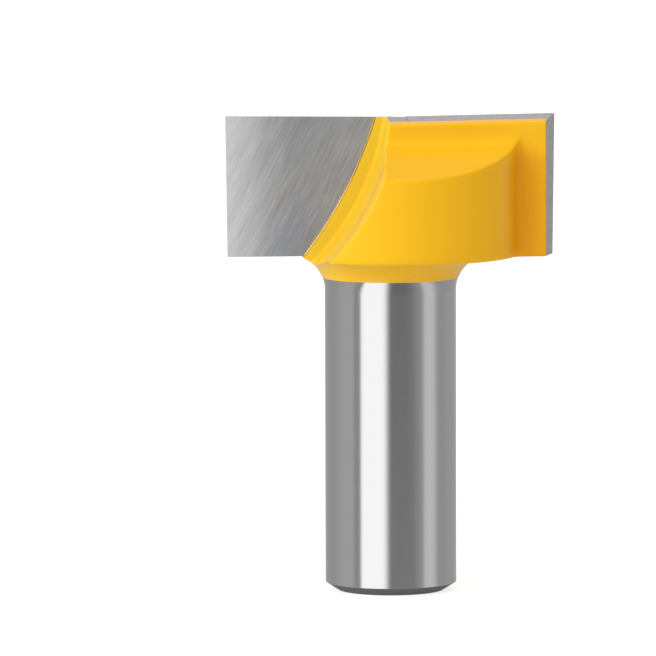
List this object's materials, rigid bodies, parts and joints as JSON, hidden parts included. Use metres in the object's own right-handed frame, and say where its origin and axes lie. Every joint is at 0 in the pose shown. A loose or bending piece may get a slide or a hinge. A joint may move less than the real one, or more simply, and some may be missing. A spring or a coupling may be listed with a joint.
{
  "type": "router bit",
  "caption": "Surfacing router bit: round shank, flared neck, and a winged head with brazed carbide tips, each behind an open chip gullet.",
  "frame": {"origin": "centre of the shank's end face, on the axis of the bit", "axes": "+Z along the axis towards the cutting end, -X along wing 1, whose rake face looks along -Y"},
  "size_m": [0.032, 0.025, 0.0461],
  "materials": {
    "body": "yellow paint on the head and neck, bright ground steel on the shank",
    "carbide": "ground tungsten carbide with slanting grinding marks",
    "braze": "silver solder, matt"
  },
  "bodies": {
    "root": {"cutter_body": "body", "carbide_tip_1": "carbide", "carbide_tip_2": "carbide", "braze_layer_1": "braze", "braze_layer_2": "braze"}
  },
  "joints": []
}
